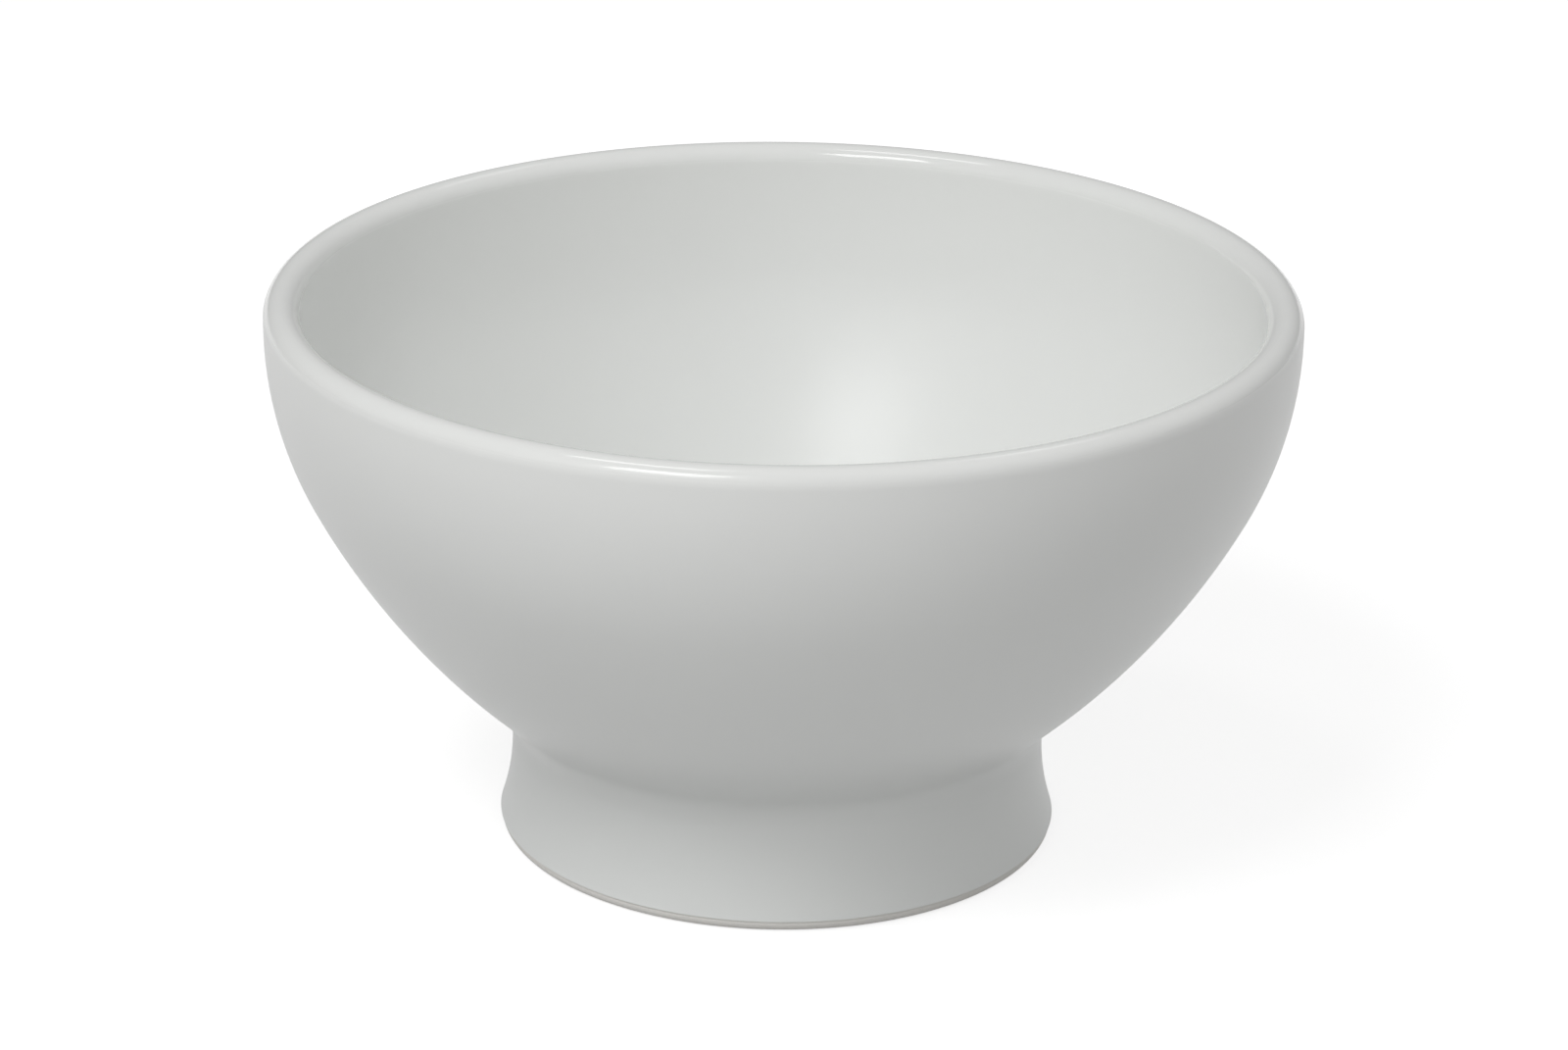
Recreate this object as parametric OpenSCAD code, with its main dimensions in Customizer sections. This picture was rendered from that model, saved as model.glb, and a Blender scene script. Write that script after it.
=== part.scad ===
// Footed latte bowl in white glazed porcelain.
// A round bowl stands on a hollow flared foot. The two are luted together with slip, and
// coats of glaze cover them all over, but for the rounded edge that the foot stands on.
// The axis is Z, and the table is at height zero.

/* [Bowl] */
// Outside diameter at the rim, over the glaze
rim_d = 140; // [120:1:160]
// Height from the table to the top of the lip
height = 77.5; // [66:0.5:90]
// Height of the upright rim, from the top of the lip down to where the wall turns in
rim_h = 3.9; // [3:0.1:8]
// Thickness of the bowl's porcelain
wall_t = 4.4; // [2.6:0.1:5.2]
// Turn of the wall's upper curve, as a share of the wall's lean from the rim to the foot
shoulder_share = 0.887; // [0.7:0.01:1.05]
// Slope of the wall at the foot, counted from upright, as a share of the same lean
flank_share = 1.687; // [1.6:0.01:1.8]
// Radius of the curve between the wall and the flat bottom, over the glaze
base_r = 20; // [16:1:23]
// Distance from the inner face of the foot in to the edge of the flat bottom
base_w = 16.3; // [15:0.1:20]

/* [Foot] */
// Height of the foot, up to the corner that its waist makes with the wall
foot_h = 17.3; // [15:0.1:20]
// Diameter of the foot's upright waist, over the glaze
waist_d = 73.8; // [70:0.2:78]
// Height of the upright waist, from the neck's curve down to the flare
waist_h = 0.8; // [0.5:0.1:5]
// Radius of the flare, over the glaze
flare_r = 36; // [26:1:60]
// Thickness of the foot's porcelain at the waist
foot_t = 3.6; // [3:0.1:5]
// Radius of both edges of the standing face
edge_r = 1.2; // [0.6:0.1:1.6]

/* [Slip joint] */
// Thickness of the slip between the bowl and the top of the foot
slip_t = 0.6; // [0.3:0.1:1.2]
// Radius of the neck between the wall and the foot, over the glaze
neck_r = 8; // [2.5:0.1:10]
// Radius in the corner under the bowl, inside the foot, over the glaze
well_r = 1.5; // [1:0.1:3]

/* [Glaze] */
// Thickness of the glaze
glaze_t = 0.25; // [0.15:0.05:0.4]
// Extra depth of glaze where it pools over the slip
pool_t = 0.1; // [0.05:0.05:0.2]

/* [Hidden] */
$fn = 240;

// Depths below the bowl's outer surface, to the clay, to its inner face and to the inside
clay_top = glaze_t;
clay_under = clay_top + wall_t;
whole_t = clay_under + glaze_t;

// How far the straight sides of a cutting outline run past the curves that it cuts
reach = whole_t / 2;

// Parts of a unit that a rounded length keeps
thousandths = 1000;

// Faces of the foot's upright waist: over the glaze, and its clay outside and inside
waist_r = waist_d / 2;
foot_out = waist_r - glaze_t;
foot_in = foot_out - foot_t;

// The wall's outer line: its way in and down from the rim to the corner with the foot,
// and the slopes, counted from upright, of that way and at the ends of its two curves
rim_r = rim_d / 2;
wall_way = [rim_r - waist_r, height - rim_h - foot_h];
lean = atan2(wall_way.x, wall_way.y);
shoulder_turn = shoulder_share * lean;
corner_turn = flank_share * lean;

// Radii of the two curves that make up this way, from the way that each makes per radius
shoulder_way = [1 - cos(shoulder_turn), sin(shoulder_turn)];
flank_way = [cos(shoulder_turn) - cos(corner_turn), sin(corner_turn) - sin(shoulder_turn)];
shoulder_r = rounded(cross(wall_way, flank_way) / cross(shoulder_way, flank_way));
flank_r = rounded(cross(shoulder_way, wall_way) / cross(shoulder_way, flank_way));
clay_r = flank_r - clay_top;

// Centres of the curves from the lip down, and the slope where the base's curve begins
lip_c = [rim_r - whole_t / 2, height - whole_t / 2];
shoulder_c = [rim_r - shoulder_r, height - rim_h];
flank_c = on_arc(shoulder_c, shoulder_r - flank_r, shoulder_turn);
base_c = corner_centre(foot_in - glaze_t - base_w, flank_r - base_r);
flank_turn = slope_at(base_c);
base_z = base_c.y - base_r;

// The two corners of the joint: centre of each curve, the slope where it leaves the bowl,
// and a point in the bowl's wall behind that place
neck_c = corner_centre(waist_r + neck_r, flank_r + neck_r);
neck_turn = slope_at(neck_c);
neck_deep = on_arc(flank_c, flank_r - whole_t - reach, neck_turn);
well_c = corner_centre(foot_in - glaze_t - well_r, flank_r + well_r);
well_turn = slope_at(well_c);
well_deep = on_arc(flank_c, flank_r - whole_t - reach, well_turn);

// The flare, and the centres of the standing edges
flare_c = [waist_r + flare_r, neck_c.y - waist_h];
flare_clay_r = flare_r + glaze_t;
edge_in = [foot_in + edge_r, edge_r];
edge_out = [
    flare_c.x - sqrt(pow(flare_clay_r + edge_r, 2) - pow(flare_c.y - edge_r, 2)),
    edge_r
];
edge_mark = on_line(edge_out, flare_c, 2 * edge_r);

// Point at distance r from c, turned down from level by angle a
function on_arc(c, r, a) = c + r * [cos(a), -sin(a)];
// Point on the way from p to q, at a distance from p
function on_line(p, q, far) = p + far * (q - p) / norm(q - p);
// Centre below the bowl at radius x, at distance r from the centre of the lower curve
function corner_centre(x, r) = [x, flank_c.y - sqrt(r * r - pow(x - flank_c.x, 2))];
// Slope of the lower curve at the point nearest to q
function slope_at(q) = atan2(flank_c.y - q.y, q.x - flank_c.x);

// A length rounded to a thousandth
function rounded(v) = round(v * thousandths) / thousandths;

// Moves a flat shape in two steps, so that its place keeps all of its decimals
module place(p) {
    step = [for (v = p) rounded(v)];
    translate(step) translate(p - step) children();
}

// Disc of radius r about c
module disc(c, r) {
    place(c) circle(r);
}

// Ring about c between two radii
module ring(c, r_big, r_small) {
    difference() {
        disc(c, r_big);
        disc(c, r_small);
    }
}

// Box between two opposite corners
module box(p, q) {
    polygon([p, [q.x, p.y], q, [p.x, q.y]]);
}

// Small square on the side that two neighbouring pieces of a layer share. It is less than
// half as thick as the layer, and joins them whatever the rounding of their corners.
module stitch(p, thick) {
    place(p) square(thick / 2, center = true);
}

// Layer of the wall on the curve of radius r about c, between two slopes and two depths.
// The reaches say how far outside the wall its first and last sides end.
module curved_layer(c, r, from, to, top, under, from_reach = reach, to_reach = reach) {
    deep = r - whole_t - reach;
    middle = (from + to) / 2;
    intersection() {
        ring(c, r - top, r - under);
        polygon([
            on_arc(c, deep, from),
            on_arc(c, r + from_reach, from),
            on_arc(c, (r + reach) / cos(to - middle), middle),
            on_arc(c, r + to_reach, to),
            on_arc(c, deep, to)
        ]);
    }
}

// Layer of the upright rim and the curved wall below it, down to a slope of the lower curve
module wall_layer(top, under, to = flank_turn, to_reach = reach) {
    middle = (top + under) / 2;
    stitch([rim_r - middle, lip_c.y], under - top);
    box([rim_r - under, shoulder_c.y], [rim_r - top, lip_c.y]);
    stitch([rim_r - middle, shoulder_c.y], under - top);
    curved_layer(shoulder_c, shoulder_r, 0, shoulder_turn, top, under);
    stitch(on_arc(shoulder_c, shoulder_r - middle, shoulder_turn), under - top);
    curved_layer(flank_c, flank_r, shoulder_turn, to, top, under, to_reach = to_reach);
    stitch(on_arc(flank_c, flank_r - middle, to), under - top);
}

// Layer of the base, from the axis out to the foot of the wall's lower curve
module base_layer(top, under) {
    place([0, base_z + top]) square([base_c.x, under - top]);
    stitch([base_c.x, base_z + (top + under) / 2], under - top);
    curved_layer(base_c, base_r, flank_turn, 90, top, under);
}

// Coat over the outer half of the round lip (side 1) or over its inner half (side -1)
module lip_coat(side) {
    intersection() {
        ring(lip_c, whole_t / 2, wall_t / 2);
        translate([side > 0 ? lip_c.x : lip_c.x - reach, lip_c.y]) square(reach);
    }
}

// Coat over the slip in a corner of the joint, on the curve of radius r about c
module corner_coat(c, r, outline) {
    difference() {
        intersection() {
            ring(c, r + glaze_t + pool_t, r);
            polygon(outline);
        }
        disc(flank_c, clay_r);
        foot_wall();
    }
}

// Half section of the foot's wall between its two upright faces, up to the slip
module foot_wall() {
    difference() {
        box([foot_in, 0], [foot_out, flank_c.y]);
        disc(flank_c, clay_r + slip_t);
    }
}

// Half section of the foot: upright wall and flare, hollowed on top to the curve of the
// bowl, and below them the flat standing face and its two edges
module foot_section() {
    difference() {
        union() {
            box([foot_in, flare_c.y], [foot_out, flank_c.y]);
            stitch([foot_in + foot_t / 2, flare_c.y], foot_t);
            difference() {
                polygon([flare_c, [foot_in, flare_c.y], [foot_in, edge_r], edge_out, edge_mark]);
                disc(flare_c, flare_clay_r);
            }
        }
        disc(flank_c, clay_r + slip_t);
    }
    stitch([foot_in + foot_t / 2, edge_r], edge_r);
    box([edge_in.x, 0], edge_out);
    intersection() {
        disc(edge_in, edge_r);
        box([foot_in, 0], edge_in);
    }
    intersection() {
        disc(edge_out, edge_r);
        polygon([edge_out, edge_mark, [edge_mark.x, -edge_r], [edge_out.x, -edge_r]]);
    }
}

// Half section of the slip: a thin layer on top of the foot, with a wiped bead on each side
module slip_section() {
    difference() {
        polygon([
            neck_c,
            neck_deep,
            well_deep,
            well_c,
            [foot_in + foot_t / 2, well_c.y],
            [foot_out, neck_c.y]
        ]);
        disc(flank_c, clay_r);
        foot_wall();
        disc(neck_c, neck_r + glaze_t + pool_t);
        disc(well_c, well_r + glaze_t + pool_t);
    }
}

// The bowl itself: an even shell of porcelain with a round lip and a flat base
module bowl_body() {
    color("seashell") rotate_extrude() {
        wall_layer(clay_top, clay_under);
        base_layer(clay_top, clay_under);
        intersection() {
            disc(lip_c, wall_t / 2);
            translate(lip_c - [reach, 0]) square([2 * reach, reach]);
        }
    }
}

// The foot: a hollow flared ring of porcelain, its top hollowed to the curve of the bowl
module pedestal_foot() {
    color("linen") rotate_extrude() foot_section();
}

// The slip that lutes the bowl to the foot
module luting_slip() {
    color("antiquewhite") rotate_extrude() slip_section();
}

// Glaze poured inside the bowl, up to the top of the lip
module liner_glaze() {
    color("white") rotate_extrude() {
        lip_coat(-1);
        wall_layer(clay_under, whole_t);
        base_layer(clay_under, whole_t);
    }
}

// Glaze outside, from the top of the lip over the neck and down to the standing edge
module outside_glaze() {
    color("whitesmoke") rotate_extrude() {
        lip_coat(1);
        wall_layer(0, clay_top, neck_turn, neck_r);
        corner_coat(
            neck_c,
            neck_r,
            [neck_c, neck_deep, [foot_in, neck_deep.y], [foot_in, neck_c.y]]
        );
        stitch([waist_r - glaze_t / 2, neck_c.y], glaze_t);
        box([foot_out, flare_c.y], [waist_r, neck_c.y]);
        stitch([waist_r - glaze_t / 2, flare_c.y], glaze_t);
        intersection() {
            ring(flare_c, flare_clay_r, flare_r);
            polygon([[foot_in, flare_c.y], flare_c, edge_mark, edge_out]);
        }
    }
}

// Glaze under the bowl and down the inside of the foot
module foot_well_glaze() {
    color("ghostwhite") rotate_extrude() {
        base_layer(0, clay_top);
        stitch(on_arc(flank_c, flank_r - glaze_t / 2, flank_turn), glaze_t);
        curved_layer(flank_c, flank_r, well_turn, flank_turn, 0, clay_top, from_reach = well_r);
        stitch(on_arc(flank_c, flank_r - glaze_t / 2, well_turn), glaze_t);
        corner_coat(
            well_c,
            well_r,
            [well_c, [foot_out, well_c.y], [foot_out, well_deep.y], well_deep]
        );
        stitch([foot_in - glaze_t / 2, well_c.y], glaze_t);
        box([foot_in - glaze_t, edge_r], [foot_in, well_c.y]);
    }
}

bowl_body();
pedestal_foot();
luting_slip();
liner_glaze();
outside_glaze();
foot_well_glaze();
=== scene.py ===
"""A footed latte bowl in white glazed porcelain, on a white studio table.

Every piece is a surface of revolution about the Z axis. Its half section is an outline of straight
lines and arcs, in radius and height, worked out from the bowl's own sizes.
"""

import math

import bpy
import numpy as np
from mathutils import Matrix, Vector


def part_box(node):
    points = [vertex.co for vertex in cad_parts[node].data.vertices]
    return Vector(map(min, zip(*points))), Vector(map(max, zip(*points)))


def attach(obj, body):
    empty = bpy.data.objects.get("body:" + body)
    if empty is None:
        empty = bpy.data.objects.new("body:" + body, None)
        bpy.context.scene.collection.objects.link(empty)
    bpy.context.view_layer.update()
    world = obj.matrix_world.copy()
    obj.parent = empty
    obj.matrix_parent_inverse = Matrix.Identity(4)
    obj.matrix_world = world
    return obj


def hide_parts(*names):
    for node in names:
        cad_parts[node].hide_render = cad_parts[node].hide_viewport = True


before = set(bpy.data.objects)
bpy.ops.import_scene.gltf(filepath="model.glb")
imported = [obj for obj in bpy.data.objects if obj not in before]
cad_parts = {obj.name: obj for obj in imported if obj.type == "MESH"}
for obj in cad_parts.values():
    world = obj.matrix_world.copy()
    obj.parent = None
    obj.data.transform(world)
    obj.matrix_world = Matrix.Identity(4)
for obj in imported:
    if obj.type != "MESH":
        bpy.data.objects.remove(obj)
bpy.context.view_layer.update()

MM = 0.001

# Sizes

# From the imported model: outside radius at the rim, and height
RIM_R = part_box("outside_glaze")[1][0]
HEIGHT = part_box("outside_glaze")[1][2]

# Bowl: upright rim, thickness of the clay, curves of the wall, and the flat bottom
RIM_H = 3.9 * MM
WALL_T = 4.4 * MM
SHOULDER_SHARE = 0.887
FLANK_SHARE = 1.687
BASE_R = 20.0 * MM
BASE_W = 16.3 * MM

# Foot: height of its corner with the wall, waist, flare, thickness and standing edges
FOOT_H = 17.3 * MM
WAIST_R = 36.9 * MM
WAIST_H = 0.8 * MM
FLARE_R = 36.0 * MM
FOOT_T = 3.6 * MM
EDGE_R = 1.2 * MM

# Slip joint and glaze
SLIP_T = 0.6 * MM
NECK_R = 8.0 * MM
WELL_R = 1.5 * MM
GLAZE_T = 0.25 * MM
POOL_T = 0.1 * MM

# Fineness: steps round the axis, the longest steps along an outline on faces that show, on
# tight curves and on hidden faces, the distance under which two points are one, and the turn
# between two faces past which their edge is sharp
TURN_STEPS = 320
SKIN_STEP = 0.9 * MM
FINE_STEP = 0.2 * MM
HIDDEN_STEP = 3.0 * MM
SAME_PLACE = 0.001 * MM
SHARP_TURN = math.radians(35)

# Glaze: sizes of its clouds, waves and orange peel, the depths of the last two, how far the
# clouds shift the place where its tone changes, its roughness where bright, and what the clouds
# add to that
CLOUD_SIZE = 22 * MM
WAVE_SIZE = 9 * MM
PEEL_SIZE = 1.6 * MM
WAVE_DEPTH = 0.05 * MM
PEEL_DEPTH = 0.004 * MM
DRIFT = 9 * MM
BRIGHT_ROUGHNESS = 0.03
CLOUD_ROUGHNESS = 0.06

# Bare porcelain and slip: size of their tooling grain, and its depth
CLAY_GRAIN = 0.5 * MM
SLIP_GRAIN = 1.2 * MM
GRAIN_DEPTH = 0.03 * MM

# How strongly glaze and fired clay bend light
CERAMIC_IOR = 1.5

# Table: half its width, how far it lies below the standing face, and how strongly it glows
# white to the camera and in the glaze, where 1 is white by itself
TABLE_HALF = 20.0
TABLE_DROP = 0.02 * MM
TABLE_GLOW = 0.75

# Distance of every lamp from the middle of the table
LAMP_FAR = 1.2

# Camera: film width and lens in millimetres, sideways shift as a share of the film's width,
# place before and above the bowl, how far it is tilted down and turned left, in radians, and
# the nearest distance that it sees
FILM_WIDTH = 36.0
LENS = 111.05
SHIFT = 0.1003
CAMERA_AWAY = 619.3 * MM
CAMERA_UP = 286.55 * MM
CAMERA_TILT = 0.3745
CAMERA_TURN = 0.0339
NEAREST_SEEN = 0.05


# Shape of the half section


def on_arc(centre, radius, turn):
    """Centre plus radius times (cos t, -sin t): a point turned down from level by t."""
    return centre + radius * np.array([math.cos(turn), -math.sin(turn)])


def turn_of(way):
    """Turn, down from level, of a direction."""
    return math.atan2(-way[1], way[0])


def below_flank(x, far):
    """Point at radius x, at a distance below the centre of the wall's lower curve."""
    return np.array([x, FLANK_C[1] - math.sqrt(far**2 - (x - FLANK_C[0]) ** 2)])


# Depths below the outer surface: to the clay, to its inner face and to the inside
CLAY_TOP = GLAZE_T
CLAY_UNDER = CLAY_TOP + WALL_T
WHOLE_T = CLAY_UNDER + GLAZE_T

# The round lip, as wide as the whole wall
LIP_R = WHOLE_T / 2
LIP_C = np.array([RIM_R - LIP_R, HEIGHT - LIP_R])

# The wall's way in and down from the rim to the foot, and the slopes along it
WALL_WAY = np.array([RIM_R - WAIST_R, HEIGHT - RIM_H - FOOT_H])
LEAN = math.atan2(WALL_WAY[0], WALL_WAY[1])
SHOULDER_TURN = SHOULDER_SHARE * LEAN
CORNER_TURN = FLANK_SHARE * LEAN

# Radii of the wall's two curves: what each makes of that way, solved for both together
WAY_PER_RADIUS = np.array(
    [
        [1 - math.cos(SHOULDER_TURN), math.cos(SHOULDER_TURN) - math.cos(CORNER_TURN)],
        [math.sin(SHOULDER_TURN), math.sin(CORNER_TURN) - math.sin(SHOULDER_TURN)],
    ]
)
SHOULDER_R, FLANK_R = np.linalg.solve(WAY_PER_RADIUS, WALL_WAY)

# Centres of the lip, of the wall's two curves and of the bottom's, and the bottom's height
FOOT_OUT = WAIST_R - GLAZE_T
FOOT_IN = FOOT_OUT - FOOT_T
SHOULDER_C = np.array([RIM_R - SHOULDER_R, HEIGHT - RIM_H])
FLANK_C = on_arc(SHOULDER_C, SHOULDER_R - FLANK_R, SHOULDER_TURN)
BASE_C = below_flank(FOOT_IN - GLAZE_T - BASE_W, FLANK_R - BASE_R)
BASE_TURN = turn_of(BASE_C - FLANK_C)
BASE_Z = BASE_C[1] - BASE_R

# The two corners under the bowl, outside and inside the foot
NECK_C = below_flank(WAIST_R + NECK_R, FLANK_R + NECK_R)
NECK_TURN = turn_of(NECK_C - FLANK_C)
NECK_COAT_R = NECK_R + GLAZE_T + POOL_T
WELL_C = below_flank(FOOT_IN - GLAZE_T - WELL_R, FLANK_R + WELL_R)
WELL_TURN = turn_of(WELL_C - FLANK_C)
WELL_COAT_R = WELL_R + GLAZE_T + POOL_T

# The flare and the standing edges
FLARE_C = np.array([WAIST_R + FLARE_R, NECK_C[1] - WAIST_H])
FLARE_CLAY_R = FLARE_R + GLAZE_T
EDGE_IN = np.array([FOOT_IN + EDGE_R, EDGE_R])
EDGE_DROP = FLARE_C[1] - EDGE_R
EDGE_OUT_X = FLARE_C[0] - math.sqrt((FLARE_CLAY_R + EDGE_R) ** 2 - EDGE_DROP**2)
EDGE_OUT = np.array([EDGE_OUT_X, EDGE_R])
FLARE_TURN = turn_of(EDGE_OUT - FLARE_C)


def arc(centre, radius, start, end, step):
    """Points along an arc: centre plus radius times (cos t, -sin t), as t goes start to end."""
    count = max(2, math.ceil(abs(end - start) * radius / step))
    turn = np.linspace(start, end, count + 1)
    return centre + radius * np.column_stack([np.cos(turn), -np.sin(turn)])


def line(start, end, step):
    """Points along a straight line, evenly spaced."""
    start, end = np.array(start), np.array(end)
    count = max(1, math.ceil(np.linalg.norm(end - start) / step))
    return start + np.linspace(0, 1, count + 1)[:, None] * (end - start)


def joined(*runs):
    """One outline out of several runs of points, with each place written once."""
    points = np.vstack(runs)
    apart = np.linalg.norm(np.diff(points, axis=0), axis=1) > SAME_PLACE
    return points[np.concatenate([[True], apart])]


def coat_lean(corner_r, coat_r):
    """Angle, at a corner's centre, from the way to the flank's centre to the place where the
    corner's coat reaches the bowl's clay: the law of cosines in the triangle of the three."""
    side = FLANK_R + corner_r
    clay_r = FLANK_R - CLAY_TOP
    return math.acos((side**2 + coat_r**2 - clay_r**2) / (2 * side * coat_r))


def wall_run(depth, end, step):
    """Line of the wall at a depth, from the lip's level down to a slope of its lower curve."""
    return joined(
        line([RIM_R - depth, LIP_C[1]], [RIM_R - depth, SHOULDER_C[1]], FINE_STEP),
        arc(SHOULDER_C, SHOULDER_R - depth, 0, SHOULDER_TURN, step),
        arc(FLANK_C, FLANK_R - depth, SHOULDER_TURN, end, step),
    )


def base_run(depth, step):
    """Line of the bottom at a depth, from the end of the wall's curve in to the axis."""
    return joined(
        arc(BASE_C, BASE_R - depth, BASE_TURN, math.pi / 2, step),
        line([BASE_C[0], BASE_Z + depth], [0, BASE_Z + depth], step),
    )


def lip_inside(depth):
    """Inner quarter of the lip at a depth, from its level side up to its top."""
    return arc(LIP_C, LIP_R - depth, -math.pi, -math.pi / 2, FINE_STEP)


def lip_outside(depth):
    """Outer quarter of the lip at a depth, from its top down to its level side."""
    return arc(LIP_C, LIP_R - depth, -math.pi / 2, 0, FINE_STEP)


def liner_outline():
    """Glaze inside: from its face on the axis out, up over half the lip, and back on the clay."""
    return joined(
        base_run(WHOLE_T, SKIN_STEP)[::-1],
        wall_run(WHOLE_T, BASE_TURN, SKIN_STEP)[::-1],
        lip_inside(0),
        lip_inside(GLAZE_T)[::-1],
        wall_run(CLAY_UNDER, BASE_TURN, HIDDEN_STEP),
        base_run(CLAY_UNDER, HIDDEN_STEP),
    )


def outside_outline():
    """Glaze outside: from the top of the lip down its face to the standing edge, and back."""
    at_foot = math.pi + math.acos((NECK_C[0] - FOOT_OUT) / NECK_COAT_R)
    at_bowl = NECK_TURN + math.pi - coat_lean(NECK_R, NECK_COAT_R)
    behind = on_arc(NECK_C, NECK_COAT_R, at_bowl)
    above = on_arc(NECK_C, NECK_COAT_R, at_foot)
    return joined(
        lip_outside(0),
        wall_run(0, NECK_TURN, SKIN_STEP),
        arc(NECK_C, NECK_R, NECK_TURN + math.pi, math.pi, FINE_STEP),
        line([WAIST_R, NECK_C[1]], [WAIST_R, FLARE_C[1]], SKIN_STEP),
        arc(FLARE_C, FLARE_R, math.pi, FLARE_TURN, SKIN_STEP),
        arc(FLARE_C, FLARE_CLAY_R, FLARE_TURN, math.pi, HIDDEN_STEP),
        line([FOOT_OUT, FLARE_C[1]], above, HIDDEN_STEP),
        arc(NECK_C, NECK_COAT_R, at_foot, at_bowl, FINE_STEP),
        wall_run(CLAY_TOP, turn_of(behind - FLANK_C), HIDDEN_STEP)[::-1],
        lip_outside(GLAZE_T)[::-1],
    )


def well_outline():
    """Glaze under the bowl: out on the clay, down inside the foot, and back on its own face."""
    at_foot = -math.acos((FOOT_IN - WELL_C[0]) / WELL_COAT_R)
    at_bowl = WELL_TURN - math.pi + coat_lean(WELL_R, WELL_COAT_R)
    behind = on_arc(WELL_C, WELL_COAT_R, at_bowl)
    face = FOOT_IN - GLAZE_T
    return joined(
        base_run(CLAY_TOP, HIDDEN_STEP)[::-1],
        arc(FLANK_C, FLANK_R - CLAY_TOP, BASE_TURN, turn_of(behind - FLANK_C), HIDDEN_STEP),
        arc(WELL_C, WELL_COAT_R, at_bowl, at_foot, FINE_STEP),
        line(on_arc(WELL_C, WELL_COAT_R, at_foot), [FOOT_IN, EDGE_R], HIDDEN_STEP),
        line([FOOT_IN, EDGE_R], [face, EDGE_R], HIDDEN_STEP),
        line([face, EDGE_R], [face, WELL_C[1]], SKIN_STEP),
        arc(WELL_C, WELL_R, 0, WELL_TURN - math.pi, FINE_STEP),
        arc(FLANK_C, FLANK_R, WELL_TURN, BASE_TURN, SKIN_STEP),
        base_run(0, SKIN_STEP),
    )


def foot_outline():
    """Clay of the foot: across its hollowed top, down the waist and flare, round the standing
    edge, and up its upright inner face."""
    top_r = FLANK_R - CLAY_TOP + SLIP_T
    top_in, top_out = below_flank(FOOT_IN, top_r), below_flank(FOOT_OUT, top_r)
    return joined(
        arc(FLANK_C, top_r, turn_of(top_in - FLANK_C), turn_of(top_out - FLANK_C), HIDDEN_STEP),
        line(top_out, [FOOT_OUT, FLARE_C[1]], HIDDEN_STEP),
        arc(FLARE_C, FLARE_CLAY_R, math.pi, FLARE_TURN, HIDDEN_STEP),
        arc(EDGE_OUT, EDGE_R, FLARE_TURN - math.pi, math.pi / 2, FINE_STEP),
        line([EDGE_OUT[0], 0], [EDGE_IN[0], 0], SKIN_STEP),
        arc(EDGE_IN, EDGE_R, math.pi / 2, math.pi, FINE_STEP),
        line([FOOT_IN, EDGE_R], top_in, HIDDEN_STEP)[:-1],
    )


def lathe(name, outline):
    """Closed surface of revolution: (r cos t, r sin t, z), with t evenly round the axis.

    The outline closes back to its first point, or starts and ends on the axis. A point on the
    axis makes one vertex, the pole, which triangles join to the ring next to it.
    """
    radius, height = outline[:, 0], outline[:, 1]
    closed = radius[0] > 0
    rows = np.arange(len(outline)) if closed else np.arange(1, len(outline) - 1)
    turn = np.linspace(0, 2 * math.pi, TURN_STEPS, endpoint=False)
    x = radius[rows, None] * np.cos(turn)
    y = radius[rows, None] * np.sin(turn)
    z = np.broadcast_to(height[rows, None], x.shape)
    points = np.stack([x, y, z], axis=2).reshape(-1, 3)

    here = np.arange(len(points)).reshape(len(rows), TURN_STEPS)
    beside = np.roll(here, -1, axis=1)
    last = len(rows) if closed else len(rows) - 1
    below, below_beside = np.roll(here, -1, axis=0), np.roll(beside, -1, axis=0)
    sides = [here[:last], below[:last], below_beside[:last], beside[:last]]
    faces = np.stack(sides, axis=2).reshape(-1, 4).tolist()
    if not closed:
        pole = len(points)
        points = np.vstack([points, [[0, 0, height[0]], [0, 0, height[-1]]]])
        first_ring = [np.full(TURN_STEPS, pole), here[0], beside[0]]
        last_ring = [np.full(TURN_STEPS, pole + 1), beside[-1], here[-1]]
        faces += np.column_stack(first_ring).tolist() + np.column_stack(last_ring).tolist()

    mesh = bpy.data.meshes.new(name)
    mesh.from_pydata(points.tolist(), [], faces)
    mesh.polygons.foreach_set("use_smooth", np.ones(len(faces), dtype=bool))
    mesh.update()
    mesh.set_sharp_from_angle(angle=SHARP_TURN)
    piece = bpy.data.objects.new(name, mesh)
    bpy.context.scene.collection.objects.link(piece)
    return piece


# Materials


def colour(hex_code):
    """Linear colour of an sRGB hex code."""
    value = np.array([int(hex_code[i : i + 2], 16) / 255 for i in (0, 2, 4)])
    linear = np.where(value <= 0.04045, value / 12.92, ((value + 0.055) / 1.055) ** 2.4)
    return (*linear.tolist(), 1.0)


def add(tree, kind, settings, links):
    """Adds a node. Settings go to its properties or, by name or number, to its sockets. Links
    give, for a socket of it, the other node and the name of that node's output."""
    node = tree.nodes.new(kind)
    for key, value in settings.items():
        if isinstance(key, str) and hasattr(node, key):
            setattr(node, key, value)
        else:
            node.inputs[key].default_value = value
    for key, (source, output) in links.items():
        tree.links.new(source.outputs[output], node.inputs[key])
    return node


def new_material(name):
    """Empty node material and its tree."""
    material = bpy.data.materials.new(name)
    material.use_nodes = True
    material.node_tree.nodes.clear()
    return material, material.node_tree


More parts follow.
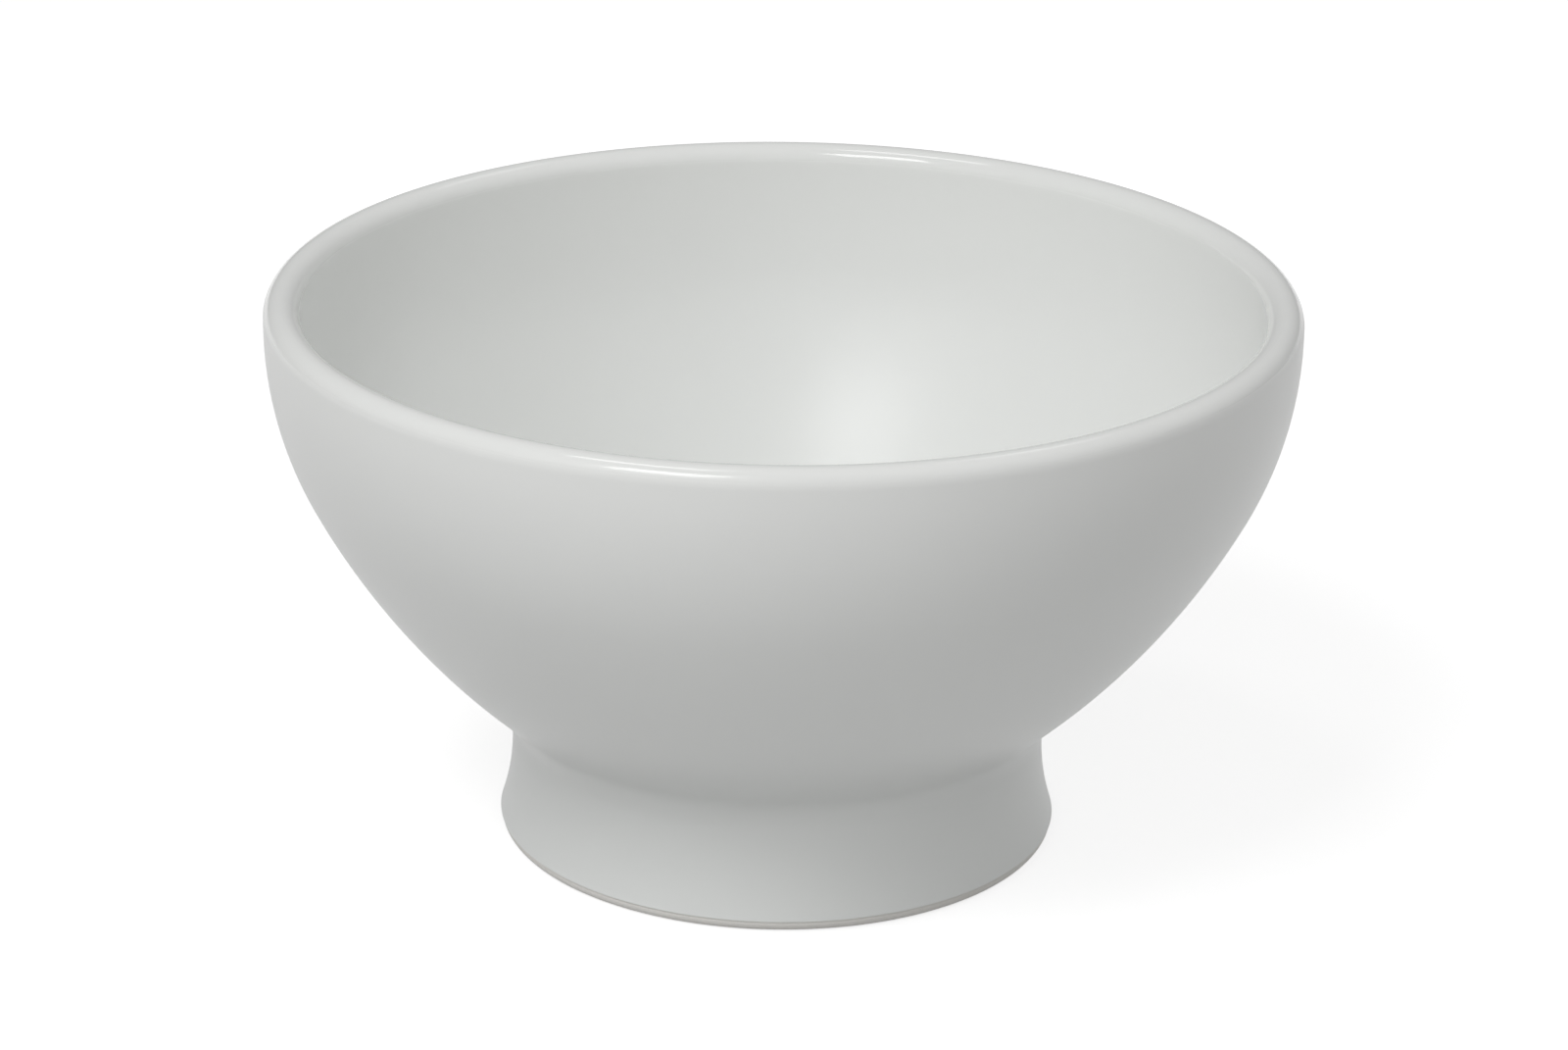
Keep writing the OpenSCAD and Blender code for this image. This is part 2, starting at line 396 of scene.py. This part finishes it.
def white_glaze(name, start_tone, end_tone, start_z, end_z, bright_z, dull_z, dull):
    """Glossy white glaze, put on porcelain wet and fired. Where it is thin the clay's warmth
    shows through, and where it pools it turns faintly greener; the outside's darker tone towards
    the foot is painted shade. Its surface is glassy, with
    the slow waves of a wet coat and a faint orange peel, which soften its reflections. It is
    brightest on the lip, down to one level, and use has dulled it from a lower level on."""
    material, tree = new_material(name)
    place = add(tree, "ShaderNodeTexCoord", {}, {})
    split = add(tree, "ShaderNodeSeparateXYZ", {}, {0: (place, "Object")})
    cloud = add(
        tree,
        "ShaderNodeTexNoise",
        {"Scale": 1 / CLOUD_SIZE, "Detail": 2.0, "Roughness": 0.5},
        {"Vector": (place, "Object")},
    )
    drift = add(
        tree,
        "ShaderNodeMath",
        {"operation": "MULTIPLY_ADD", 1: DRIFT},
        {0: (cloud, "Fac"), 2: (split, "Z")},
    )
    run = add(
        tree,
        "ShaderNodeMapRange",
        {"From Min": start_z + DRIFT / 2, "From Max": end_z + DRIFT / 2},
        {"Value": (drift, 0)},
    )
    tone = add(
        tree,
        "ShaderNodeMix",
        {"data_type": "RGBA", 6: colour(start_tone), 7: colour(end_tone)},
        {0: (run, "Result")},
    )
    worn = add(
        tree,
        "ShaderNodeMapRange",
        {
            "interpolation_type": "SMOOTHSTEP",
            "From Min": bright_z,
            "From Max": dull_z,
            "To Min": BRIGHT_ROUGHNESS,
            "To Max": dull,
        },
        {"Value": (split, "Z")},
    )
    gloss = add(
        tree,
        "ShaderNodeMath",
        {"operation": "MULTIPLY_ADD", 1: CLOUD_ROUGHNESS},
        {0: (cloud, "Fac"), 2: (worn, "Result")},
    )
    wave = add(
        tree,
        "ShaderNodeTexNoise",
        {"Scale": 1 / WAVE_SIZE, "Detail": 1.0, "Roughness": 0.4},
        {"Vector": (place, "Object")},
    )
    peel = add(
        tree,
        "ShaderNodeTexNoise",
        {"Scale": 1 / PEEL_SIZE, "Detail": 1.0, "Roughness": 0.4},
        {"Vector": (place, "Object")},
    )
    waves = add(
        tree,
        "ShaderNodeBump",
        {"Strength": 1.0, "Distance": WAVE_DEPTH},
        {"Height": (wave, "Fac")},
    )
    skin = add(
        tree,
        "ShaderNodeBump",
        {"Strength": 1.0, "Distance": PEEL_DEPTH},
        {"Height": (peel, "Fac"), "Normal": (waves, "Normal")},
    )
    coat = add(
        tree,
        "ShaderNodeBsdfPrincipled",
        {"IOR": CERAMIC_IOR},
        {"Base Color": (tone, 2), "Roughness": (gloss, 0), "Normal": (skin, "Normal")},
    )
    add(tree, "ShaderNodeOutputMaterial", {}, {"Surface": (coat, "BSDF")})
    return material


def bare_porcelain(name, pale, dark, grain_size, dull):
    """Unglazed porcelain or slip, turned or brushed and fired: a dull, slightly warm white with
    fine tooling grain."""
    material, tree = new_material(name)
    place = add(tree, "ShaderNodeTexCoord", {}, {})
    grain = add(
        tree,
        "ShaderNodeTexNoise",
        {"Scale": 1 / grain_size, "Detail": 3.0, "Roughness": 0.6},
        {"Vector": (place, "Object")},
    )
    tone = add(
        tree,
        "ShaderNodeMix",
        {"data_type": "RGBA", 6: colour(pale), 7: colour(dark)},
        {0: (grain, "Fac")},
    )
    tooth = add(
        tree,
        "ShaderNodeBump",
        {"Strength": 1.0, "Distance": GRAIN_DEPTH},
        {"Height": (grain, "Fac")},
    )
    clay = add(
        tree,
        "ShaderNodeBsdfPrincipled",
        {"IOR": CERAMIC_IOR, "Roughness": dull},
        {"Base Color": (tone, 2), "Normal": (tooth, "Normal")},
    )
    add(tree, "ShaderNodeOutputMaterial", {}, {"Surface": (clay, "BSDF")})
    return material


# Levels between which the glaze turns from bright to dull, within the curve of the lip
INSIDE_BRIGHT_Z = HEIGHT - 1 * MM
INSIDE_DULL_Z = HEIGHT - 2.4 * MM
OUTSIDE_BRIGHT_Z = HEIGHT - 0.2 * MM
OUTSIDE_DULL_Z = HEIGHT - 2.2 * MM

# Poured in and swirled: the most even coat, with the soft sheen that spoons leave
liner_finish = white_glaze(
    "poured_white_glaze",
    start_tone="EDEEEC",
    end_tone="ECEEEC",
    start_z=HEIGHT,
    end_z=BASE_Z,
    bright_z=INSIDE_BRIGHT_Z,
    dull_z=INSIDE_DULL_Z,
    dull=0.30,
)

# Dipped upside down: a little greener towards the foot, duller there from hands and tables,
# and darker there, which is painted shade of the lower wall
outside_finish = white_glaze(
    "dipped_white_glaze",
    start_tone="EDEEEC",
    # The darker tone at the foot is painted shade of the lower wall
    end_tone="E8EAE8",
    start_z=HEIGHT,
    end_z=0,
    bright_z=OUTSIDE_BRIGHT_Z,
    dull_z=OUTSIDE_DULL_Z,
    dull=0.34,
)

# Brushed on under the bowl: a greyer, dull white all over
well_finish = white_glaze(
    "brushed_white_glaze",
    start_tone="E8E9E7",
    end_tone="E6E8E6",
    start_z=0,
    end_z=BASE_Z,
    bright_z=OUTSIDE_BRIGHT_Z,
    dull_z=OUTSIDE_DULL_Z,
    dull=0.34,
)

# Turned and sponged clay of the standing edge, and the rougher, warmer slip under the glaze
clay_finish = bare_porcelain(
    "bare_fired_porcelain", pale="ECEAE6", dark="E4E2DD", grain_size=CLAY_GRAIN, dull=0.55
)
slip_finish = bare_porcelain(
    "fired_porcelain_slip", pale="EAE8E2", dark="E2DFD9", grain_size=SLIP_GRAIN, dull=0.7
)


# Pieces


def place_piece(name, outline, finish, node):
    """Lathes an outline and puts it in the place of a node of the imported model."""
    piece = lathe(name, outline)
    piece.data.materials.append(finish)
    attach(piece, "root")
    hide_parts(node)


place_piece("poured_inside_glaze", liner_outline(), liner_finish, "liner_glaze")
place_piece("dipped_outside_glaze", outside_outline(), outside_finish, "outside_glaze")
place_piece("glaze_under_bowl", well_outline(), well_finish, "foot_well_glaze")
place_piece("turned_foot", foot_outline(), clay_finish, "pedestal_foot")

# The clay of the bowl and the slip are wholly under glaze, so their solids stay as they are
for node, finish in {"bowl_body": clay_finish, "luting_slip": slip_finish}.items():
    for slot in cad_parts[node].material_slots:
        slot.material = finish


# Table, lights and camera


def white_table():
    """Matt white table, which the camera and the glaze see as plain white with a soft shadow."""
    material, tree = new_material("matt_white_table")
    ray = add(tree, "ShaderNodeLightPath", {}, {})
    seen = add(
        tree,
        "ShaderNodeMath",
        {"operation": "MAXIMUM"},
        {0: (ray, "Is Camera Ray"), 1: (ray, "Is Glossy Ray")},
    )
    seen_all = add(
        tree,
        "ShaderNodeMath",
        {"operation": "MAXIMUM"},
        {0: (seen, 0), 1: (ray, "Is Transmission Ray")},
    )
    glow = add(
        tree,
        "ShaderNodeMath",
        {"operation": "MULTIPLY", 1: TABLE_GLOW},
        {0: (seen_all, 0)},
    )
    paint = add(
        tree,
        "ShaderNodeBsdfPrincipled",
        {
            "Base Color": colour("B3B3B3"),
            "Roughness": 0.9,
            "Specular IOR Level": 0.0,
            "Emission Color": colour("FFFFFF"),
        },
        {"Emission Strength": (glow, 0)},
    )
    add(tree, "ShaderNodeOutputMaterial", {}, {"Surface": (paint, "BSDF")})
    return material


def add_table():
    """Large square plane, a hair below the standing face."""
    half, z = TABLE_HALF, -TABLE_DROP
    corners = [(-half, -half, z), (half, -half, z), (half, half, z), (-half, half, z)]
    mesh = bpy.data.meshes.new("table")
    mesh.from_pydata(corners, [], [(0, 1, 2, 3)])
    mesh.materials.append(white_table())
    table = bpy.data.objects.new("table", mesh)
    bpy.context.scene.collection.objects.link(table)


def add_world(level):
    """Even grey tent all round, which lights the bowl and shows in its glaze."""
    world = bpy.data.worlds.new("studio_tent")
    world.use_nodes = True
    tree = world.node_tree
    tree.nodes.clear()
    tent = add(
        tree,
        "ShaderNodeBackground",
        {"Color": colour("FFFFFF"), "Strength": level},
        {},
    )
    add(tree, "ShaderNodeOutputWorld", {}, {"Surface": (tent, "Background")})
    bpy.context.scene.world = world


def softbox(name, azimuth, rise, width, tall, glow, mirrored=True):
    """Lamp at one distance from the bowl, aimed at it. Azimuth goes in degrees from the
    camera's side towards the right, and rise in degrees above the table. The glow is its
    brightness, as a multiple of white paper's. One that isn't mirrored only sheds light."""
    az, el = math.radians(azimuth), math.radians(rise)
    lamp = bpy.data.lights.new(name, "AREA")
    lamp.shape = "RECTANGLE"
    lamp.size = width
    lamp.size_y = tall
    lamp.energy = glow * math.pi * width * tall
    light = bpy.data.objects.new(name, lamp)
    way = (math.cos(el) * math.sin(az), -math.cos(el) * math.cos(az), math.sin(el))
    light.location = [LAMP_FAR * step for step in way]
    light.rotation_euler = (math.pi / 2 - el, 0, az)
    light.visible_glossy = mirrored
    bpy.context.scene.collection.objects.link(light)


def add_camera():
    """Long lens in front of the bowl, looking down at it. It aims a little to the left of the
    bowl, and the shift brings the bowl back to the middle of the frame."""
    data = bpy.data.cameras.new("camera")
    data.sensor_width = FILM_WIDTH
    data.lens = LENS
    data.shift_x = SHIFT
    data.clip_start = NEAREST_SEEN
    camera = bpy.data.objects.new("camera", data)
    camera.location = (0, -CAMERA_AWAY, CAMERA_UP)
    camera.rotation_euler = (math.pi / 2 - CAMERA_TILT, 0, CAMERA_TURN)
    bpy.context.scene.collection.objects.link(camera)
    bpy.context.scene.camera = camera


add_table()
add_world(level=0.28)

# The key lamp shows as the soft spot inside and as the streak on the lip at the back, and the
# overhead lamp as the streak on the lip at the front. The unmirrored ones only shed light.
softbox("key_softbox", azimuth=-31, rise=55, width=0.37, tall=0.31, glow=7.0)
softbox("left_softbox", azimuth=-45, rise=50, width=0.70, tall=0.70, glow=2.3, mirrored=False)
softbox("front_softbox", azimuth=-10, rise=34, width=0.60, tall=0.60, glow=0.85, mirrored=False)
softbox("right_softbox", azimuth=115, rise=34, width=0.60, tall=0.60, glow=1.8, mirrored=False)
softbox("low_softbox", azimuth=0, rise=6, width=0.80, tall=0.22, glow=2.6, mirrored=False)
softbox("overhead_softbox", azimuth=-115, rise=76, width=0.20, tall=0.32, glow=3.9)
softbox("rear_softbox", azimuth=156, rise=54, width=0.20, tall=0.20, glow=1.4)

add_camera()

bpy.context.scene.view_settings.view_transform = "Standard"
